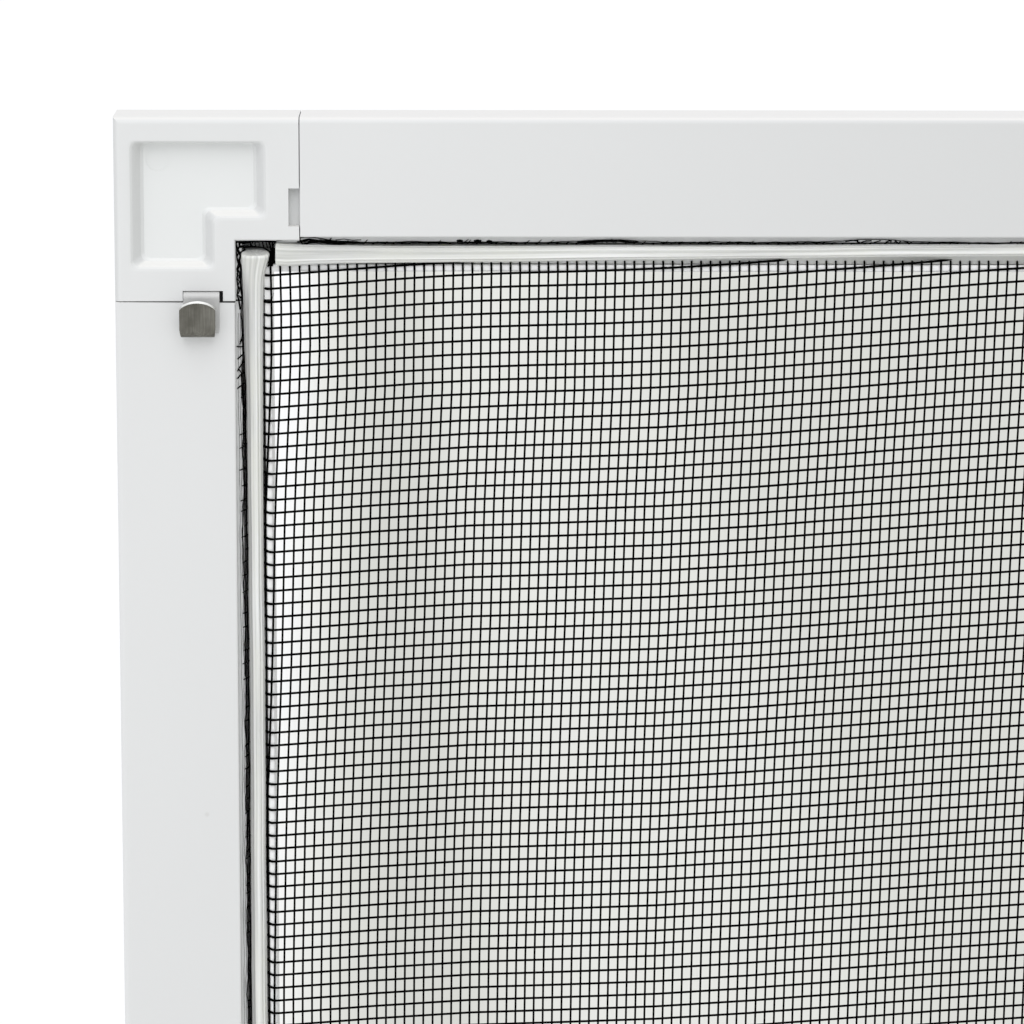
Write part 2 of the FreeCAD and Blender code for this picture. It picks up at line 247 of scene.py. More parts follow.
# streaks: noise drawn out along one axis by the stretch vector
def makeStreakGroup():
    tree, inside, outside = newGroup(
        "drawnStreaks",
        [("Vector", "NodeSocketVector", None), ("Stretch", "NodeSocketVector", (1.0, 1.0, 1.0))],
        [("Streak", "NodeSocketFloat")])
    drawn = vectorReckon(tree, "MULTIPLY", inside.outputs["Vector"], inside.outputs["Stretch"])["Vector"]
    streak = noise(tree, drawn, scale=1.0, detail=3, roughness=0.6)
    tree.links.new(streak, outside.inputs["Streak"])
    return tree


# dust: a few small specks where the cells of a fine pattern have a dark heart
def makeSpeckGroup(heart):
    tree, inside, outside = newGroup(
        "dustSpecks",
        [("Vector", "NodeSocketVector", None), ("Scale", "NodeSocketFloat", 120.0)],
        [("Speck", "NodeSocketFloat")])
    cells = tree.nodes.new("ShaderNodeTexVoronoi")
    for socket in ("Vector", "Scale"):
        tree.links.new(inside.outputs[socket], cells.inputs[socket])
    tree.links.new(spread(tree, cells.outputs["Distance"], 1.0, 0.0, *heart), outside.inputs["Speck"])
    return tree


# told by the distance from the nearest outer edges of the screen: the wall round the opening, painted light,
# the painted shade in the joint gap between a stile and a corner, which grows towards the opening,
# and the painted shade in the slit beside a clip
def makeEdgeGroup(form):
    tree, inside, outside = newGroup("edgeMarks", [("Vector", "NodeSocketVector", None)],
                                     [("Lip", "NodeSocketFloat"), ("GapShade", "NodeSocketFloat")])
    place = partsOf(tree, inside.outputs["Vector"])

    def within(value, span, soft):
        return allOf(tree, [spread(tree, value, 0.0, 1.0, span[0] - soft, span[0]),
                            spread(tree, value, 1.0, 0.0, span[1], span[1] + soft)])

    def fromEdge(axis, low, high):
        fromMiddle = reckon(tree, "ABSOLUTE", reckon(tree, "SUBTRACT", place[axis], (low + high) / 2))
        return reckon(tree, "SUBTRACT", (high - low) / 2, fromMiddle)

    fromSide = fromEdge("X", leftEdge, rightEdge)
    fromLevel = fromEdge("Z", bottomEdge, topEdge)
    lip = spread(tree, reckon(tree, "MINIMUM", fromSide, fromLevel), 0.0, 1.0, *form["lip"])
    joint = allOf(tree, [within(fromLevel, form["joint"], form["jointSoft"]),
                         spread(tree, fromSide, 0.0, 1.0, *form["jointAcross"])])
    slit = allOf(tree, [within(fromSide, form["slitAcross"], form["slitSoft"]),
                        within(fromLevel, form["slitDown"], form["slitSoft"]),
                        within(place["Y"], form["slitDeep"], form["slitSoft"])])
    tree.links.new(lip, outside.inputs["Lip"])
    tree.links.new(reckon(tree, "MAXIMUM", joint, slit), outside.inputs["GapShade"])
    return tree


edgeForm = dict(lip=(22.45 * mm, 22.5 * mm),
                joint=(27.96 * mm, 28.19 * mm), jointSoft=0.04 * mm, jointAcross=(1.0 * mm, 18.0 * mm),
                slitAcross=(15.8 * mm, 16.42 * mm), slitDown=(26.38 * mm, 28.2 * mm),
                slitDeep=(frontFace + 0.15 * mm, frontFace + 4.5 * mm), slitSoft=0.04 * mm)
grainGroup = makeGrainGroup()
streakGroup = makeStreakGroup()
speckGroup = makeSpeckGroup(heart=(0.01, 0.035))
edgeGroup = makeEdgeGroup(edgeForm)


def placeGroup(tree, group, vector, **values):
    node = tree.nodes.new("ShaderNodeGroup")
    node.node_tree = group
    tree.links.new(vector, node.inputs["Vector"])
    for socket, value in values.items():
        node.inputs[socket.replace("_", " ")].default_value = value
    return node.outputs


def placeGrain(tree, vector, look):
    return placeGroup(tree, grainGroup, vector, Fine_Scale=look["fineScale"], Broad_Scale=look["broadScale"])


def newMaterial(name, look):
    material = bpy.data.materials.new(name)
    material.use_nodes = True
    tree = material.node_tree
    shader = tree.nodes["Principled BSDF"]
    coords = tree.nodes.new("ShaderNodeTexCoord")
    for socket, value in look.get("sockets", {}).items():
        shader.inputs[socket].default_value = value
    return material, tree, shader, coords


# the last steps of a finish: its colour, its gloss by a pattern, and a bump by a height
def finishInto(tree, shader, look, tone, roughness, height):
    tree.links.new(tone, shader.inputs["Base Color"])
    tree.links.new(roughness, shader.inputs["Roughness"])
    bump = tree.nodes.new("ShaderNodeBump")
    bump.inputs["Strength"].default_value = look["skin"]
    bump.inputs["Distance"].default_value = look["skinHeight"]
    tree.links.new(height, bump.inputs["Height"])
    tree.links.new(bump.outputs["Normal"], shader.inputs["Normal"])


# white finishes: clouds shift the tone and gloss, specks lie on top, the fine skin is bumped
def whiteFinish(name, look):
    material, tree, shader, coords = newMaterial(name, look)
    place = coords.outputs["Object"]
    grain = placeGrain(tree, place, look)
    tone = blendColour(tree, spread(tree, grain["Broad"], 0.0, 1.0), look["tone"], look["cloud"])
    # a far tone lies further along one way: a recess's floor by its depth, or a side's painted shade,
    # darker to the right and down as the light falls off; faces that look up get a painted light tone,
    # and walls that look sideways a painted shade tone
    way = vectorReckon(tree, "DOT_PRODUCT", place, look["farWay"])["Value"]
    facing = facingOf(tree)
    sideways = reckon(tree, "ABSOLUTE", facing["X"])
    for kind, value in (("far", way), ("up", facing["Z"]), ("wall", sideways)):
        tone = blendColour(tree, spread(tree, value, 0.0, 1.0, *look[kind + "From"]), tone, look[kind])
    # the lip is painted light; the joint and slit marks are painted shade in those gaps
    marks = placeGroup(tree, edgeGroup, place)
    for mark in ("Lip", "GapShade"):
        tone = blendColour(tree, marks[mark], tone, look[mark.lower()])
    specks = placeGroup(tree, speckGroup, place, Scale=look["speckScale"])["Speck"]
    faint = spread(tree, specks, 0.0, look["speckDepth"], 0.0, 1.0)
    tone = blendColour(tree, faint, tone, look["speck"])
    finishInto(tree, shader, look, tone, spread(tree, grain["Broad"], *look["gloss"]), grain["Fine"])
    return material


# far is painted shade as the light falls off; up is painted light; lip is painted light; joint and slit
# painted shade
sideLook = dict(tone=(0.733, 0.737, 0.737), cloud=(0.748, 0.753, 0.753),
                far=(0.674, 0.678, 0.678), farWay=(1, 0, -0.5),
                farFrom=(leftEdge + 30 * mm, leftEdge + 135 * mm),
                up=(0.812, 0.800, 0.785), upFrom=(0.5, 0.8), wall=(0.733, 0.737, 0.737), wallFrom=(0.25, 0.6),
                lip=(0.95, 0.95, 0.95), gapshade=(0.05, 0.05, 0.05),
                speck=(0.45, 0.43, 0.40), speckScale=70.0, speckDepth=0.25,
                fineScale=1100.0, broadScale=14.0, gloss=(0.46, 0.56), skin=0.12, skinHeight=0.05 * mm,
                sockets={"Specular IOR Level": 0.4})
# far lightens what lies deeper than the recess's floor; up is painted light, wall painted shade on the
# recess's walls
cornerLook = dict(tone=(0.733, 0.739, 0.738), cloud=(0.751, 0.756, 0.755),
                  far=(0.780, 0.792, 0.787), farWay=(0, 1, 0),
                  farFrom=(frontFace + 1.6 * mm, frontFace + 2.0 * mm), up=(0.812, 0.804, 0.786),
                  upFrom=(0.5, 0.8), wall=(0.667, 0.674, 0.672), wallFrom=(0.25, 0.6),
                  lip=(0.95, 0.95, 0.95), gapshade=(0.05, 0.05, 0.05),
                  speck=(0.40, 0.39, 0.36), speckScale=110.0, speckDepth=0.35,
                  fineScale=2600.0, broadScale=60.0, gloss=(0.5, 0.6), skin=0.10, skinHeight=0.03 * mm,
                  sockets={"Specular IOR Level": 0.4})


# soft white vinyl: streaks run with the length, a cream cast lies in broad clouds
def splineFinish(name, look):
    material, tree, shader, coords = newMaterial(name, look)
    streak = placeGroup(tree, streakGroup, coords.outputs["UV"], Stretch=look["stretch"])["Streak"]
    grain = placeGrain(tree, coords.outputs["Object"], look)
    lines = spread(tree, streak, 0.0, 1.0, *look["streakFrom"])
    tone = blendColour(tree, lines, look["tone"], look["streak"])
    tone = blendColour(tree, spread(tree, grain["Broad"], 0.0, look["castDepth"]), tone, look["cast"])
    # the outer flank, past the front by its turn in UV, is greyed partly for the cloth drawn tight around it
    # and partly as painted shade on a side in shadow, save near the ends, which lie far from half the height
    # along UV
    place = partsOf(tree, coords.outputs["UV"])
    fromMiddle = reckon(tree, "ABSOLUTE", reckon(tree, "SUBTRACT", place["X"], screenHigh / 2))
    flank = allOf(tree, [spread(tree, place["Y"], 0.0, look["flankDepth"], *look["flankFrom"]),
                         spread(tree, fromMiddle, 1.0, 0.0, *look["flankEnds"])])
    tone = blendColour(tree, flank, tone, look["flank"])
    finishInto(tree, shader, look, tone, spread(tree, streak, *look["gloss"]), streak)
    return material


splineLook = dict(tone=(0.84, 0.845, 0.84), streak=(0.50, 0.505, 0.495), streakFrom=(0.38, 0.66),
                  stretch=(18.0, 26.0, 1.0), cast=(0.74, 0.745, 0.685), castDepth=0.6,
                  flank=(0.36, 0.36, 0.35), flankDepth=0.0, flankFrom=(0.526, 0.545),
                  flankEnds=(screenHigh / 2 - 29 * mm, screenHigh / 2 - 23 * mm),
                  fineScale=800.0, broadScale=90.0, gloss=(0.30, 0.48), skin=0.35, skinHeight=0.06 * mm,
                  sockets={"Specular IOR Level": 0.5, "Subsurface Weight": 0.4, "Subsurface Scale": 1.0 * mm,
                           "Subsurface Radius": (1.0, 1.0, 0.9)})
# upright splines carry the painted shade on their outer flank
uprightLook = dict(splineLook, flankDepth=0.9)


# black coated yarn: near black with a broken dull sheen
def meshFinish(name, look):
    material, tree, shader, coords = newMaterial(name, look)
    grain = placeGrain(tree, coords.outputs["Object"], look)
    tone = blendColour(tree, grain["Broad"], look["tone"], look["worn"])
    finishInto(tree, shader, look, tone, spread(tree, grain["Fine"], *look["gloss"]), grain["Fine"])
    return material


meshLook = dict(tone=(0.001, 0.001, 0.001), worn=(0.004, 0.004, 0.004), fineScale=2400.0, broadScale=160.0,
                gloss=(0.6, 0.8), skin=0.4, skinHeight=0.04 * mm, sockets={"Specular IOR Level": 0.0})


# spring steel: brushed upright, with a warm mottle; the paddle's dark tone is painted reflection
def clipFinish(name, look):
    material, tree, shader, coords = newMaterial(name, look)
    place = coords.outputs["Object"]
    brushed = placeGroup(tree, streakGroup, place, Stretch=look["stretch"])["Streak"]
    grain = placeGrain(tree, place, look)
    tone = blendColour(tree, spread(tree, brushed, 0.0, 1.0), look["tone"], look["brush"])
    tone = blendColour(tree, spread(tree, grain["Broad"], 0.0, look["mottleDepth"]), tone, look["mottle"])
    # the paddle, told by how far forward it stands, is dark as a painted reflection; the leaf behind it is
    # brighter
    forward = partsOf(tree, place)["Y"]
    leaf = spread(tree, forward, 0.0, 1.0, *look["leafFrom"])
    tone = blendColour(tree, leaf, tone, look["leaf"])
    # the paddle's cut edge, which faces up, gets a painted highlight
    paintedGlint = allOf(tree, [spread(tree, facingOf(tree)["Z"], 0.0, 1.0, *look["paintedGlintFrom"]),
                          spread(tree, forward, 1.0, 0.0, *look["leafFrom"])])
    tone = blendColour(tree, paintedGlint, tone, look["paintedGlint"])
    roughness = tree.nodes.new("ShaderNodeMix")
    gloss = spread(tree, brushed, *look["gloss"])
    for socket, value in (("Factor", leaf), ("A", gloss), ("B", look["leafGloss"])):
        feed(tree, value, roughness.inputs[socket])
    finishInto(tree, shader, look, tone, roughness.outputs["Result"], brushed)
    return material


# the paddle's dark tone is painted reflection, and the bright tone on its top edge a painted highlight
clipLook = dict(tone=(0.13, 0.126, 0.11), brush=(0.25, 0.243, 0.215), mottle=(0.09, 0.086, 0.072),
                mottleDepth=0.7, leaf=(0.62, 0.62, 0.615), leafGloss=0.75,
                leafFrom=(frontFace - 1.6 * mm, frontFace - 1.0 * mm),
                paintedGlint=(0.90, 0.90, 0.88), paintedGlintFrom=(0.45, 0.65),
                stretch=(4200.0, 4200.0, 160.0), fineScale=3000.0, broadScale=420.0, gloss=(0.28, 0.42),
                skin=0.25, skinHeight=0.02 * mm, sockets={"Metallic": 1.0})

sideCoat = whiteFinish("sidePowderCoat", sideLook)
cornerPlastic = whiteFinish("cornerPlastic", cornerLook)
splineVinyl = splineFinish("splineVinyl", splineLook)
uprightVinyl = splineFinish("uprightVinyl", uprightLook)
meshYarn = meshFinish("meshYarn", meshLook)
clipSteel = clipFinish("clipSteel", clipLook)
finishes = {"stile": sideCoat, "rail": sideCoat, "corner": cornerPlastic, "clip": clipSteel}
for nodeName, node in nodes.items():
    for word, material in finishes.items():
        if word in nodeName:
            node.data.materials.clear()
            node.data.materials.append(material)
print("finishes made")


# splines: a fluted round carried along the groove, wandering a little, flared and hollowed at its cut ends;
# each cut ring has its scale and how far it is sunk
cordForm = dict(steps=240, corners=80, flutes=14, fluteDepth=0.05 * mm, swell=0.05, wander=0.08 * mm,
                wanderLength=120 * mm, broadLength=55 * mm, settleLength=72 * mm, slantLength=1.5 * mm,
                cutRings=((0.5, 0.22 * mm), (0.72, 0.05 * mm), (0.87, 0.0), (0.95, 0.06 * mm),
                          (0.99, 0.2 * mm)),
                cutRound=0.35 * mm, endCrowd=0.9, footIn=22.45 * mm, footTop=0.5, footLength=25 * mm)
uprightForm = dict(cordForm, halfWide=1.30 * mm, broad=0.0, squash=0.28, flare=0.42 * mm,
                   flareLength=9.0 * mm, aside=0.0, endAside=0.07 * mm, settle=0.0, nip=-0.39 * mm,
                   nipLength=2.9 * mm, slant=0.36 * mm, proud=0.5 * mm, squareness=0.7, foot=0.0)
levelForm = dict(cordForm, halfWide=0.97 * mm, broad=0.36 * mm, squash=0.0, flare=0.6 * mm,
                 flareLength=5.5 * mm, aside=-0.72 * mm, endAside=0.0, settle=0.9 * mm, nip=0.15 * mm,
                 nipLength=1.4 * mm, slant=0.0, proud=0.0, squareness=0.5, foot=1.0, lift=0.9 * mm)
splineForms = {"left": dict(uprightForm, lift=2.1 * mm, seed=20), "top": dict(levelForm, seed=25),
               "right": dict(uprightForm, lift=2.0 * mm, seed=30), "bottom": dict(levelForm, seed=35)}


def splineRings(side, form):
    box = boxOf("spline_" + side)
    upright = side in uprightSides
    start = topEdge - box[1, 2] if upright else box[0, 0] - leftEdge
    length = box[1, 2] - box[0, 2] if upright else box[1, 0] - box[0, 0]
    start, length = start - form["proud"], length + 2 * form["proud"]
    even = np.linspace(0, 1, form["steps"])
    crowded = 0.5 - 0.5 * np.cos(math.pi * even)
    share = even + form["endCrowd"] * (crowded - even)
    along = start + form["cutRound"] + (length - 2 * form["cutRound"]) * share
    fromEnd = np.minimum(along - start, start + length - along)
    # towards an end, by a falling power of its distance, the round widens, stands forward and shifts aside;
    # by bells of that distance it also settles outwards, and its inner side is nipped, or bulges, at the cut
    nearEnd = np.exp(-fromEnd / form["flareLength"])
    settled = form["settle"] * bell(fromEnd, form["settleLength"])
    nipped = form["nip"] * bell(fromEnd, form["nipLength"])
    broad = form["broad"] * bell(fromEnd, form["broadLength"])
    aside = form["aside"] + form["endAside"] * nearEnd + settled - nipped
    wander = unevenWave(along, form["wander"], form["wanderLength"], form["seed"])
    swell = 1 + unevenWave(along, form["swell"], form["wanderLength"], form["seed"] + 1)
    middle = splineIn.mean() + aside + wander
    halfWide = form["halfWide"] * swell + broad + form["flare"] * nearEnd - nipped
    halfHigh = (splineForward[1] - splineForward[0]) / 2 * (1 - form["squash"] * nearEnd)
    centre = splineForward.mean() + form["lift"] * nearEnd
    # corner at angle turn: width times a squarish cosine, height times a squarish sine, flutes by a cosine
    around = np.arange(form["corners"]) / form["corners"]
    turn = 2 * math.pi * around - math.pi / 2
    rounds = (np.cos(turn), np.sin(turn))
    across, rise = (np.sign(part) * np.abs(part) ** form["squareness"] for part in rounds)
    flute = 1 + form["fluteDepth"] / halfWide[:, None] * np.cos(form["flutes"] * turn)
    inward = across * halfWide[:, None] * flute
    forward = rise * halfHigh[:, None] * flute
    # away from its ends a level spline has a foot: low on its inner side it reaches to the groove's wall
    footed = form["foot"] * (1 - bell(fromEnd, form["footLength"]))
    below = (across > 0) & (rise < form["footTop"])
    wall = (form["footIn"] - middle)[:, None]
    inward = np.where(below, inward + np.maximum(wall - inward, 0) * footed[:, None], inward)
    # the cut ends: the last ring again, rounded over to a rim, then drawn in and sunk to a hollow
    cutScale, cutDepth = np.array(form["cutRings"]).T
    sinking = cutDepth - form["cutRound"]
    rings = len(cutScale)
    scale = np.concatenate([cutScale, np.ones(form["steps"]), cutScale[::-1]])[:, None]
    sunk = np.concatenate([sinking, np.zeros(form["steps"]), -sinking[::-1]])
    pick = np.clip(np.arange(-rings, form["steps"] + rings), 0, form["steps"] - 1)
    # the cut slants: its front stands further from the end than its back
    towards = np.where(along < start + length / 2, 1, -1) * bell(fromEnd, form["slantLength"])
    cut = form["slant"] * towards[pick][:, None] * (1 + rise * scale)
    place = sidePlace(side, (along[pick] + sunk)[:, None] + cut, middle[pick][:, None] + inward[pick] * scale,
                      centre[pick][:, None] + forward[pick] * scale)
    # UV: metres along, and one for a full turn
    uv = np.stack(np.broadcast_arrays(along[pick][:, None], around), axis=-1)
    return place[None], uv[None]


for side, form in splineForms.items():
    batch = Batch()
    batch.add(*splineRings(side, form))
    vinyl = uprightVinyl if side in uprightSides else splineVinyl
    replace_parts(batch.piece("vinyl_spline_" + side, vinyl, "spline_white"), "spline_" + side)
print("splines laid")


# insect mesh: upright and level yarns, each a square tube clipped to the opening;
# the waves' shares are in mm, and the billow is a height for each metre from the edge
clothForm = dict(uprightPitch=1.453 * mm, levelPitch=2.038 * mm, uprightThick=0.31 * mm, levelThick=0.36 * mm,
                 uprightFirst=22.836 * mm, levelFirst=22.387 * mm, uprightSeed=6, levelSeed=7, spare=2,
                 uneven=0.09 * mm, unevenLength=60 * mm, datum=(23.6 * mm, 26.3 * mm),
                 lean=(-0.0221, -0.0114), leanReach=140 * mm, leanTurn=(90 * mm, 100 * mm),
                 leanLength=150 * mm,
                 leanWaves=((0.387, -0.242, 0.413, -0.186), (0.038, -0.056, 0.171, -0.100),
                            (0.019, -0.040, 0.101, -0.015)),
                 rise=-0.065, riseLength=180 * mm,
                 riseWaves=((0.062, -0.252), (-0.256, -0.008), (0.030, 0.063), (0.031, 0.037)),
                 edge=22.1 * mm, further=0.8 * mm, samples=1500, shortest=6 * mm,
                 steps=40, endSteps=np.array([0, 0.45, 0.95, 1.5, 2.4]) * mm,
                 crest=8.45 * mm, diveFrom=22.8 * mm, diveWide=0.6 * mm, dive=1.3 * mm,
                 billow=0.0002, billowLengths=(38 * mm, 47 * mm), fuse=0.05 * mm,
                 kink=0.3 * mm, kinkWide=1.3 * mm, pull=0.6, pullLength=70 * mm, pullSeed=8,
                 rootSwell=0.45, rootLength=0.7 * mm)


# upright yarns drift sideways as they go down: a lean and three sines, whose shares turn slowly across
def uprightDrift(across, down, form):
    fromTop = down - form["datum"][1]
    turn = np.sin((across - form["leanTurn"][0]) / form["leanTurn"][1])
    drift = form["lean"][0] * fromTop + form["lean"][1] * turn * np.minimum(fromTop, form["leanReach"])
    for order, (sine, sineTurn, cosine, cosineTurn) in enumerate(form["leanWaves"], start=1):
        angle = 2 * math.pi * order * fromTop / form["leanLength"]
        wave = (sine + sineTurn * turn) * np.sin(angle) + (cosine + cosineTurn * turn) * np.cos(angle)
        drift = drift + wave * mm
    return drift


# level yarns climb to the right: a steady rise and four sines
def levelClimb(across, form):
    fromLeft = across - form["datum"][0]
    climb = form["rise"] * fromLeft
    for order, (sine, cosine) in enumerate(form["riseWaves"], start=1):
        angle = 2 * math.pi * order * fromLeft / form["riseLength"]
        climb = climb + (sine * np.sin(angle) + cosine * np.cos(angle)) * mm
    return climb


# the height of the cloth: flat over the opening, diving into the groove within a yarn or two of the edge
def clothForward(across, down, form):
    fromSide = np.minimum(across, screenWide - across)
    fromLevel = np.minimum(down, screenHigh - down) + form["further"]
    fromEdge = np.minimum(fromSide, fromLevel)
    share = np.clip((form["diveFrom"] - fromEdge) / form["diveWide"], 0, 1)
    dive = form["dive"] * share ** 2 * (3 - 2 * share)
    acrossLength, downLength = form["billowLengths"]
    billow = form["billow"] * np.sin(across / acrossLength) * np.sin(down / downLength)
    return form["crest"] - dive + billow * np.maximum(fromEdge - form["edge"], 0)


# stations along each yarn: a few close to each end, the rest even
def stations(first, last, form):
    ends = form["endSteps"]
    inner = np.linspace(0, 1, form["steps"] - 2 * len(ends) + 2)[None, 1:-1]
    early, late = first[:, None] + ends, last[:, None] - ends[::-1]
    start, stop = early[:, -1:], late[:, :1]
    return np.concatenate([early, start + (stop - start) * inner, late], axis=1)


# where each yarn enters and leaves the opening, found on a fine line of samples; scraps are left out
def insideSpan(track, low, high, line, shortest):
    inside = (track >= low) & (track <= high)
    first = line[np.argmax(inside, axis=1)]
    last = line[len(line) - 1 - np.argmax(inside[:, ::-1], axis=1)]
    return first, last, inside.any(axis=1) & (last - first > shortest)


# where the yarns of a run start: at a pitch, a little uneven, with some to spare for those that slope in
def yarnRoots(run, span, slopeIn, form):
    pitch, spare = form[run + "Pitch"], form["spare"]
    number = np.arange(-spare, int((span - 2 * form["edge"]) / pitch) + int(slopeIn / pitch) + spare)
    root = form[run + "First"] + number * pitch
    return root + unevenWave(root, form["uneven"], form["unevenLength"], form[run + "Seed"])


def uprightYarns(form):
    root = yarnRoots("upright", screenWide, -sum(form["lean"]) * screenHigh, form)
    levelEdge = form["edge"] - form["further"]
    line = np.linspace(levelEdge, screenHigh - levelEdge, form["samples"])
    track = root[:, None] + uprightDrift(root[:, None], line, form)
    first, last, kept = insideSpan(track, form["edge"], screenWide - form["edge"], line, form["shortest"])
    down, root = stations(first[kept], last[kept], form), root[kept][:, None]
    across = root + uprightDrift(root, down, form)
    path = sidePlace("left", down, across, clothForward(across, down, form) - form["fuse"])
    return path[:, :, None, :] + strandSection((1, 0, 0), (0, 1, 0), form["uprightThick"])


def levelYarns(form):
    root = yarnRoots("level", screenHigh, -form["rise"] * screenWide, form)
    levelEdge = form["edge"] - form["further"]
    line = np.linspace(form["edge"], screenWide - form["edge"], form["samples"])
    track = root[:, None] + levelClimb(line, form)
    first, last, kept = insideSpan(track, levelEdge, screenHigh - levelEdge, line, form["shortest"])
    across, root = stations(first[kept], last[kept], form), root[kept][:, None]
    # beside a stile a yarn is pulled up, some more than others
    fromStile = np.minimum(across, screenWide - across) - form["edge"]
    nearStile = np.clip((form["kinkWide"] - fromStile) / form["kinkWide"], 0, 1)
    pull = unevenWave(root, form["pull"], form["pullLength"], form["pullSeed"]) - form["pull"]
    down = root + levelClimb(across, form) + form["kink"] * nearStile * pull
    path = sidePlace("left", down, across, clothForward(across, down, form) + form["fuse"])
    # thicker at the root, where the coating has gathered against the spline
    fromRoot = np.minimum(across - across[:, :1], across[:, -1:] - across)
    thicker = 1 + form["rootSwell"] * bell(fromRoot, form["rootLength"])
    section = strandSection((0, 0, 1), (0, 1, 0), form["levelThick"])
    return path[:, :, None, :] + section * thicker[:, :, None, None]


cloth = Batch()
cloth.add(uprightYarns(clothForm))
cloth.add(levelYarns(clothForm))
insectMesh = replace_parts(cloth.piece("insect_mesh_yarns", meshYarn, "mesh_black"), "insect_mesh")
print("mesh woven")


# the mesh's cut edge in the groove: yarns run along it, four on an upright side and two on a level one;
# each has its start, its place inward, its wander and its thickness in mm,
# and each bulge over the ledge its spot, reach and width in mm, and its yarn
tailForm = dict(step=0.9 * mm, forward=8.62 * mm, lift=0.12 * mm, wanderLength=11 * mm,
                drift=0.06 * mm, driftLength=85 * mm, seeds=dict(left=300, top=400, right=500, bottom=600),
                wanderSeed=1, liftSeed=5, foldSeed=40,
                yarns={"upright": ((27.6, 19.20, 0.15, 0.18), (27.6, 19.64, 0.07, 0.25),
                                   (30.0, 18.62, 0.08, 0.05), (30.0, 18.95, 0.12, 0.06)),
                       "level": ((24.4, 19.08, 0.10, 0.12), (27.6, 19.19, 0.06, 0.17))},
                bulges={"top": ((29.0, 0.70, 3.4, 0), (31.0, 0.30, 3.2, 1), (75.0, 0.45, 5.0, 0),
                                (75.0, 0.25, 4.0, 1), (114.5, 0.45, 6.0, 0)),
                        "left": ((66.0, 0.25, 4.0, 0),)},
                foldIn=22.45 * mm, foldForward=8.35 * mm, foldThick=0.17 * mm, foldFrom=36 * mm,
                foldWander=0.06 * mm)


def runOf(side):
    return "upright" if side in uprightSides else "level"


# a yarn's line down the groove: its place, a slow drift, a fine wander and its bulges over the ledge
def tailLine(side, form, which):
    length = screenHigh if side in uprightSides else screenWide
    seed = form["seeds"][side]
    start, place, wander, thick = (value * mm for value in form["yarns"][runOf(side)][which])
    along = np.arange(start, length - start, form["step"])
    inward = place + unevenWave(along, form["drift"], form["driftLength"], seed)
    inward = inward + unevenWave(along, wander, form["wanderLength"], seed + which + form["wanderSeed"])
    lift = unevenWave(along, form["lift"], form["wanderLength"], seed + which + form["liftSeed"])
    for spot, reach, wide, yarn in form["bulges"].get(side, ()):
        if yarn == which:
            inward = inward - reach * mm * bell(along - spot * mm, wide * mm)
    return along, inward, form["forward"] + lift, thick


# the last upright yarn, lying in the fold beside the spline; it also stands in as a painted shadow line in
# the gap there
def foldYarn(side, form):
    seed = form["seeds"][side] + form["foldSeed"]
    along = np.arange(form["foldFrom"], screenHigh - form["foldFrom"], form["step"])
    inward = form["foldIn"] + unevenWave(along, form["foldWander"], form["driftLength"], seed)
    forward = form["foldForward"] + unevenWave(along, form["foldWander"], form["driftLength"], seed + 1)
    return yarnAlong(sidePlace(side, along, inward, forward), form["foldThick"])


# a tick's most reach and its bias, by run, then its draws; last, for its four points, the share of its lean,
# the place inward of the yarn it crosses, the share of its reach, the drop below its tip, and the thickness
tickForm = dict(thick=0.24 * mm, foot=6.6 * mm, start=48 * mm, crosses=1, scatter=0.3,
                reach={"upright": (1.2 * mm, 0.5), "level": (0.55 * mm, 2.4)}, reachFrom=0.25,
                short=0.15, shortReach=0.2, fade=60 * mm, farReach=0.4,
                lean=0.85 * mm, leanFrom=0.2, tip=0.25 * mm, tipFrom=-0.2,
                leaning=np.array([0, 0, 0.35, 1.0]), inside=np.array([0.25, 0.2, -0.1, -0.1]) * mm,
                reaching=np.array([0, 0, 0, 1]), drop=np.array([0, 0.35, 0, 0]) * mm,
                taper=np.array([1, 1, 1, 0.7]))


# a tick climbs the groove's outer wall, crosses the running yarns and leans out over the ledge
def ticks(side, lineForm, form):
    draw = np.random.default_rng(lineForm["seeds"][side])
    upright = side in uprightSides
    pitch = clothForm["levelPitch"] if upright else clothForm["uprightPitch"]
    line, middle = tailLine(side, lineForm, form["crosses"])[:2]
    clear = form["start"] - line[0] if upright else pitch
    root = np.arange(line[0] + clear, line[-1] - clear, pitch)
    count = len(root)
    root = root + draw.uniform(-form["scatter"], form["scatter"], count) * pitch
    most, bias = form["reach"][runOf(side)]
    reach = most * draw.uniform(form["reachFrom"], 1.0, count) ** bias
    reach = np.where(draw.uniform(0, 1, count) < form["short"], form["shortReach"], 1.0) * reach
    nearCorner = bell(np.minimum(root - line[0], line[-1] - root), form["fade"])
    reach = reach * (form["farReach"] + (1 - form["farReach"]) * nearCorner)
    lean = form["lean"] * draw.uniform(form["leanFrom"], 1.0, count)
    tip = lineForm["forward"] + form["tip"] * draw.uniform(form["tipFrom"], 1.0, count)
    along = root[:, None] + lean[:, None] * form["leaning"]
    crossed = np.interp(root, line, middle)[:, None]
    inward = crossed + form["inside"] - reach[:, None] * form["reaching"]
    rise = tip[:, None] - form["drop"]
    rise[:, 0] = form["foot"]
    path = sidePlace(side, along, inward, rise)
    section = strandSection((0, 0, 1) if upright else (1, 0, 0), (0, 1, 0), form["thick"])
    return path[:, :, None, :] + section * form["taper"][:, None, None]


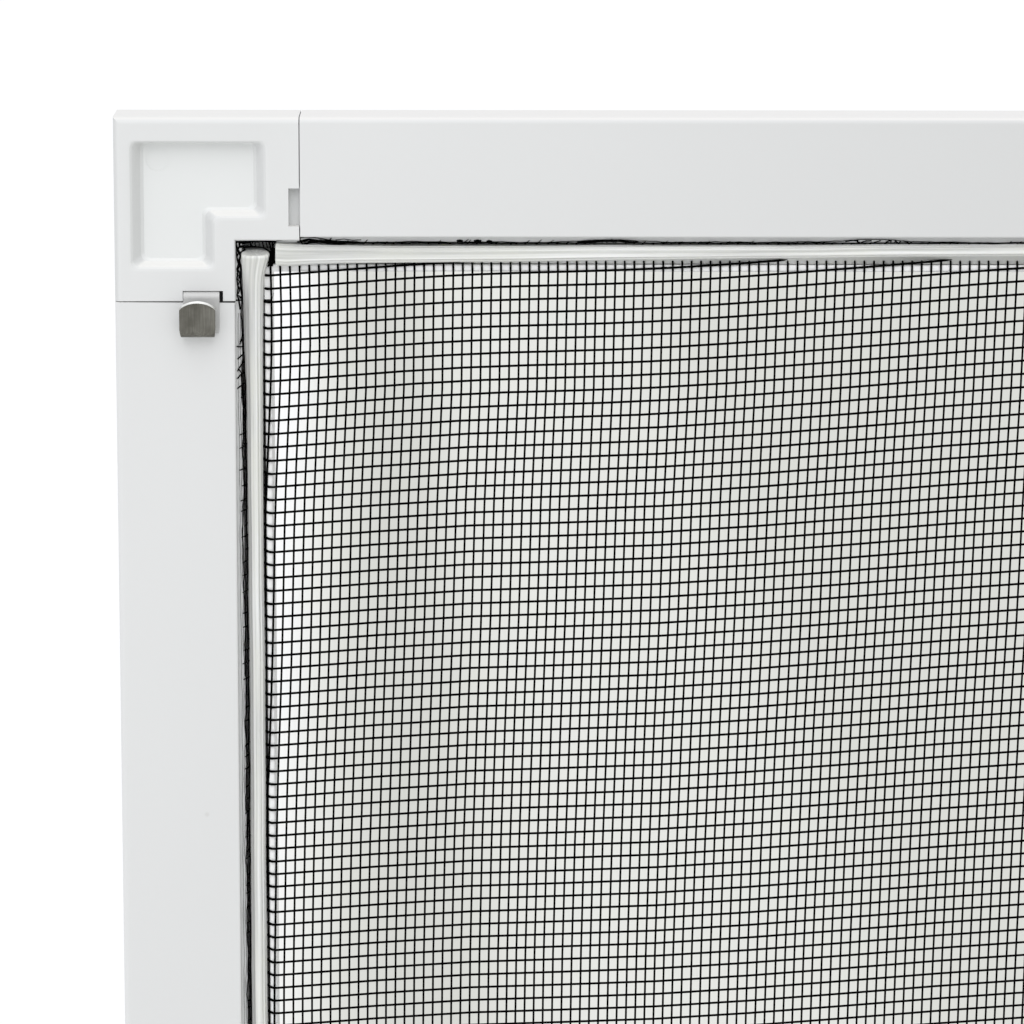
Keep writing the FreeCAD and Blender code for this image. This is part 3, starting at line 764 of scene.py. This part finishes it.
# a bunch where two grooves meet, with a loose web over the splines' ends: each yarn's thickness, then its
# places, across and down, in mm
bunchForm = dict(forward=8.5 * mm, steps=4, lift=0.1 * mm, liftLength=3 * mm, clear=18.9 * mm,
                 seed=900, cornerSeeds=40)
bunchYarns = (
    # the first yarn, under the moulding's edge, is both a yarn and a painted shadow line beneath that edge
    (0.26, (18.23, 19.13), (19.49, 19.10), (20.43, 19.07), (21.54, 19.05), (22.64, 19.05),
     (23.58, 19.05), (24.49, 19.10)),
    (0.27, (18.98, 19.89), (19.73, 19.93), (20.67, 19.85), (21.54, 19.89), (22.24, 19.93),
     (22.79, 20.10), (23.19, 20.40), (23.42, 20.84), (23.42, 21.35), (23.49, 22.06), (23.34, 22.53),
     (23.15, 22.92)),
    (0.20, (18.39, 18.99), (18.43, 20.01), (18.47, 21.35), (18.55, 21.90), (18.70, 22.53),
     (18.47, 23.24), (18.61, 23.86), (18.45, 24.73), (18.56, 25.52), (18.61, 26.30), (18.47, 27.33),
     (18.70, 27.88)),
    (0.30, (18.88, 19.03), (18.90, 19.85), (18.55, 20.25), (18.74, 20.68), (19.02, 21.19),
     (18.82, 22.06), (19.02, 22.76), (19.06, 23.63), (19.02, 24.73), (19.02, 25.52), (19.06, 26.30),
     (19.16, 27.09), (19.29, 27.88), (19.55, 28.66)),
    (0.28, (19.77, 20.21), (19.41, 20.48), (19.02, 20.80)),
    (0.18, (18.43, 19.62), (18.70, 20.25), (19.06, 21.03)),
    (0.16, (18.98, 22.06), (18.62, 22.68), (18.43, 23.31)),
    (0.16, (18.43, 23.94), (18.70, 24.34), (19.00, 24.57)),
    (0.16, (18.47, 25.52), (18.74, 25.99), (19.06, 26.46)),
    (0.20, (18.94, 19.29), (19.49, 19.32), (20.43, 19.25)),
    (0.14, (18.94, 19.71), (19.49, 19.71), (20.28, 19.66)),
    (0.22, (20.43, 19.07), (20.59, 19.50), (20.95, 19.93)),
    (0.14, (20.91, 19.14), (20.63, 19.54), (20.43, 19.85)),
    (0.16, (21.30, 19.11), (21.22, 19.46), (21.42, 19.81)),
    (0.12, (21.81, 19.07), (21.89, 19.46), (21.85, 19.85)),
    (0.22, (22.32, 19.03), (22.40, 19.38), (22.56, 19.89)),
    (0.20, (22.91, 19.03), (22.99, 19.54), (23.15, 20.09)),
    (0.25, (23.34, 19.03), (23.54, 19.70), (23.70, 20.32)),
    (0.20, (23.97, 19.07), (23.82, 19.46), (24.05, 20.25)),
    (0.20, (24.41, 19.10), (24.13, 19.34), (23.97, 19.62)),
    (0.30, (23.66, 20.01), (23.82, 21.03), (23.82, 22.37), (23.78, 22.84)),
    (0.30, (23.93, 19.85), (24.05, 21.03), (24.13, 22.37)),
    (0.24, (24.13, 20.01), (24.33, 21.03), (24.52, 22.41)),
    (0.28, (23.54, 20.40), (23.62, 21.35), (23.62, 22.06), (23.50, 22.45)),
    (0.30, (19.10, 26.30), (19.37, 26.93), (19.49, 27.44)),
    (0.20, (18.82, 27.48), (19.10, 27.58), (19.53, 27.44)),
    (0.20, (18.47, 27.29), (18.82, 27.44), (19.10, 27.88)),
    (0.26, (18.66, 27.64), (18.80, 28.66), (18.90, 29.45)),
    (0.22, (18.74, 20.80), (18.47, 21.43), (18.70, 22.06), (18.90, 22.68), (18.62, 23.31),
     (18.90, 23.94), (18.74, 24.73)),
    (0.16, (18.55, 24.73), (18.82, 25.20), (18.62, 25.83), (18.86, 26.46), (18.66, 27.09)),
    (0.14, (27.96, 18.50), (28.81, 18.25), (30.23, 18.41), (32.00, 18.76), (34.12, 19.21)),
    (0.25, (28.11, 18.97), (29.35, 18.71), (30.76, 18.89), (32.53, 19.15), (34.66, 19.33)),
    (0.25, (28.28, 19.38), (28.64, 19.56), (29.35, 19.21), (30.41, 19.06), (31.82, 19.24),
     (33.59, 19.38)),
    (0.20, (28.02, 18.76), (28.46, 19.47), (29.17, 19.38), (29.88, 18.94)),
    (0.18, (31.12, 19.15), (32.35, 19.33), (34.12, 19.42), (35.89, 19.21), (37.66, 19.29)),
    (0.10, (33.42, 18.80), (34.66, 18.67), (36.07, 18.85), (37.31, 18.78)),
    (0.20, (19.44, 33.21), (19.09, 33.92), (18.79, 34.86)),
    (0.18, (19.38, 35.16), (18.85, 35.20), (18.32, 35.16)),
    (0.20, (19.38, 36.05), (19.21, 36.40), (18.44, 37.11)),
    (0.20, (19.44, 37.46), (18.95, 38.05), (18.56, 38.64), (18.44, 38.99)),
    (0.18, (18.56, 38.52), (18.97, 39.23), (19.06, 40.10), (19.09, 40.88), (19.50, 40.88)),
    (0.20, (19.44, 39.17), (19.03, 39.35), (18.38, 40.12)),
    (0.20, (19.21, 41.06), (18.80, 41.30), (18.38, 41.65)),
    (0.20, (19.68, 42.36), (19.27, 42.77), (18.91, 43.12)),
    (0.20, (19.15, 41.00), (19.21, 42.77), (19.21, 43.83), (19.44, 44.30), (19.21, 44.89), (19.44, 46.07),
     (19.62, 47.49)),
    (0.18, (19.50, 50.09), (19.09, 50.15)),
    (0.40, (51.80, 19.02), (52.25, 18.90), (52.70, 19.02)),
    (0.40, (54.40, 19.02), (54.95, 18.90), (55.50, 19.02)),
    (0.30, (56.30, 19.05), (56.70, 18.92), (57.10, 19.05)),
    (0.26, (70.20, 19.10), (71.60, 18.98), (73.00, 18.87), (74.20, 18.81), (75.40, 18.81), (76.60, 18.89),
     (77.80, 19.02), (79.20, 19.10)),
    (0.24, (75.00, 18.92), (76.00, 18.93), (77.00, 19.02), (78.00, 19.08)),
    (0.20, (73.60, 18.84), (73.90, 19.15)),
    (0.20, (75.20, 18.95), (75.60, 19.15)),
    (0.20, (110.60, 18.95), (111.50, 18.80), (112.60, 18.81), (112.40, 19.02), (112.90, 19.14)),
    (0.18, (113.00, 19.12), (113.70, 18.87), (114.60, 18.82)),
    (0.16, (114.90, 19.12), (115.60, 18.93), (116.00, 18.82)),
    (0.20, (116.70, 19.12), (117.20, 18.86), (117.60, 18.82), (117.50, 19.12)),
    (0.16, (118.10, 18.84), (118.40, 18.98), (118.60, 19.12)),
    (0.16, (119.30, 18.84), (119.90, 18.98), (120.20, 19.12)))


# a yarn through its places, with a few even steps between each two, rising and falling by a slow wave
def bunchYarn(places, form, seed):
    points = np.array(places) * mm
    knots = np.arange(len(points))
    at = np.linspace(0, knots[-1], form["steps"] * knots[-1] + 1)
    across, down = np.interp(at, knots, points[:, 0]), np.interp(at, knots, points[:, 1])
    forward = form["forward"] + unevenWave(across + down, form["lift"], form["liftLength"], seed)
    return across, down, forward


tail = Batch()
for side in sideNames:
    for which in range(len(tailForm["yarns"][runOf(side)])):
        along, inward, forward, thick = tailLine(side, tailForm, which)
        tail.add(yarnAlong(sidePlace(side, along, inward, forward), thick))
    tail.add(ticks(side, tailForm, tickForm))
    if side in uprightSides:
        tail.add(foldYarn(side, tailForm))
meetings = [(upright, level) for upright in uprightSides for level in levelSides]
for number, (upright, level) in enumerate(meetings):
    for rank, (thick, *places) in enumerate(bunchYarns):
        seed = bunchForm["seed"] + bunchForm["cornerSeeds"] * number + rank
        across, down, forward = bunchYarn(places, bunchForm, seed)
        if (upright, level) in (("right", "top"), ("left", "bottom")):
            across = np.maximum(across, bunchForm["clear"])  # the moulding, turned, reaches further in here
        down = down if level == "top" else screenHigh - down
        tail.add(yarnAlong(sidePlace(upright, down, across, forward), thick * mm))
meshTail = tail.piece("insect_mesh_tail", meshYarn, "mesh_black")
print("mesh tail tucked in")


# a wide pale floor: white far away and to the left; behind the screen the stile's soft shade, then a slow
# fall to the right; each shade has its place on the slanted line
floorForm = dict(reach=40.0, pale=(0.985, 0.985, 0.985), tint=(0.995, 1.0, 0.935), tintOver=0.25, slant=0.03,
                 farFade=(4.9, 3.7),
                 shades=((-0.280, 0.985), (-0.2575, 0.930), (-0.2381, 0.800), (-0.220, 0.708),
                         (-0.1925, 0.650), (-0.1673, 0.668), (-0.1369, 0.755), (-0.1004, 0.785),
                         (0.004, 0.758), (0.06, 0.696), (0.313, 0.690)),
                 sockets={"Roughness": 0.9, "Specular IOR Level": 0.1})


def paleFloor(form):
    half = form["reach"] / 2
    corners = ((-half, -half), (half, -half), (half, half), (-half, half))
    mesh = bpy.data.meshes.new("pale_floor")
    mesh.from_pydata([(*corner, bottomEdge) for corner in corners], [], [(0, 1, 2, 3)])
    material, tree, shader, coords = newMaterial("palePaper", form)
    place = partsOf(tree, coords.outputs["Object"])
    # the shades follow a slanted line: a place's x plus a share of its depth
    slanted = reckon(tree, "MULTIPLY_ADD", place["Y"], form["slant"], place["X"])
    first, palest = form["shades"][0]
    last = form["shades"][-1][0]
    ramp = tree.nodes.new("ShaderNodeValToRGB")
    stops = ramp.color_ramp.elements
    for spot, shade in form["shades"][1:-1]:
        stops.new((spot - first) / (last - first))
    for stop, (spot, shade) in zip(stops, form["shades"]):
        tinted = min((palest - shade) / form["tintOver"], 1)  # the palest stop stays white
        stop.color = (*(shade * (1 - tinted * (1 - part)) for part in form["tint"]), 1)
    tree.links.new(spread(tree, slanted, 0.0, 1.0, first, last), ramp.inputs["Fac"])
    fromFar = spread(tree, place["Y"], 0.0, 1.0, *form["farFade"])
    tone = blendColour(tree, fromFar, form["pale"], ramp.outputs["Color"])
    tree.links.new(tone, shader.inputs["Base Color"])
    mesh.materials.append(material)
    floor = bpy.data.objects.new("pale_floor", mesh)
    bpy.context.scene.collection.objects.link(floor)


paleFloor(floorForm)

lightForm = dict(sky=(0.97, 0.98, 1.0), skyLevel=0.75, seenLevel=0.98, sunLevel=1.25, sunSoft=60.0,
                 sunFrom=(-0.08, -0.62, 0.78))


# even sky light; the camera and shiny metal see it as a pale backdrop
def paleSky(form):
    world = bpy.data.worlds.new("paleSky")
    bpy.context.scene.world = world
    world.use_nodes = True
    tree = world.node_tree
    background = tree.nodes["Background"]
    background.inputs["Color"].default_value = (*form["sky"], 1)
    path = tree.nodes.new("ShaderNodeLightPath")
    seen = path.outputs["Is Camera Ray"]
    for ray in ("Is Glossy Ray", "Is Transmission Ray"):
        seen = reckon(tree, "MAXIMUM", seen, path.outputs[ray])
    level = spread(tree, seen, form["skyLevel"], form["seenLevel"], 0.0, 1.0)
    tree.links.new(level, background.inputs["Strength"])


def softSun(form):
    lamp = bpy.data.lights.new("softSun", "SUN")
    lamp.energy = form["sunLevel"]
    lamp.angle = math.radians(form["sunSoft"])
    sun = bpy.data.objects.new("softSun", lamp)
    toSun = np.array(form["sunFrom"]) / np.linalg.norm(form["sunFrom"])
    side = np.cross((0, 0, 1), toSun)
    side = side / np.linalg.norm(side)
    sun.matrix_world = Matrix(np.column_stack([side, np.cross(toSun, side), toSun]).tolist()).to_4x4()
    bpy.context.scene.collection.objects.link(sun)


paleSky(lightForm)
softSun(lightForm)
print("floor and light set")

# camera: in front of the top left corner, looking down a little
cameraForm = dict(place=(-189.80 * mm, -803.58 * mm, 109.11 * mm), down=0.1962, roll=0.0011, lens=186.33,
                  sensor=36.0, clip=(0.05, 100.0))


def frontCamera(form):
    data = bpy.data.cameras.new("frontCamera")
    data.sensor_width, data.lens = form["sensor"], form["lens"]
    data.clip_start, data.clip_end = form["clip"]
    camera = bpy.data.objects.new("frontCamera", data)
    place = Matrix.Translation(form["place"])
    tilt = Matrix.Rotation(math.pi / 2 - form["down"], 4, "X")
    camera.matrix_world = place @ tilt @ Matrix.Rotation(form["roll"], 4, "Z")
    bpy.context.scene.collection.objects.link(camera)
    bpy.context.scene.camera = camera


frontCamera(cameraForm)
bpy.context.scene.view_settings.view_transform = "Standard"
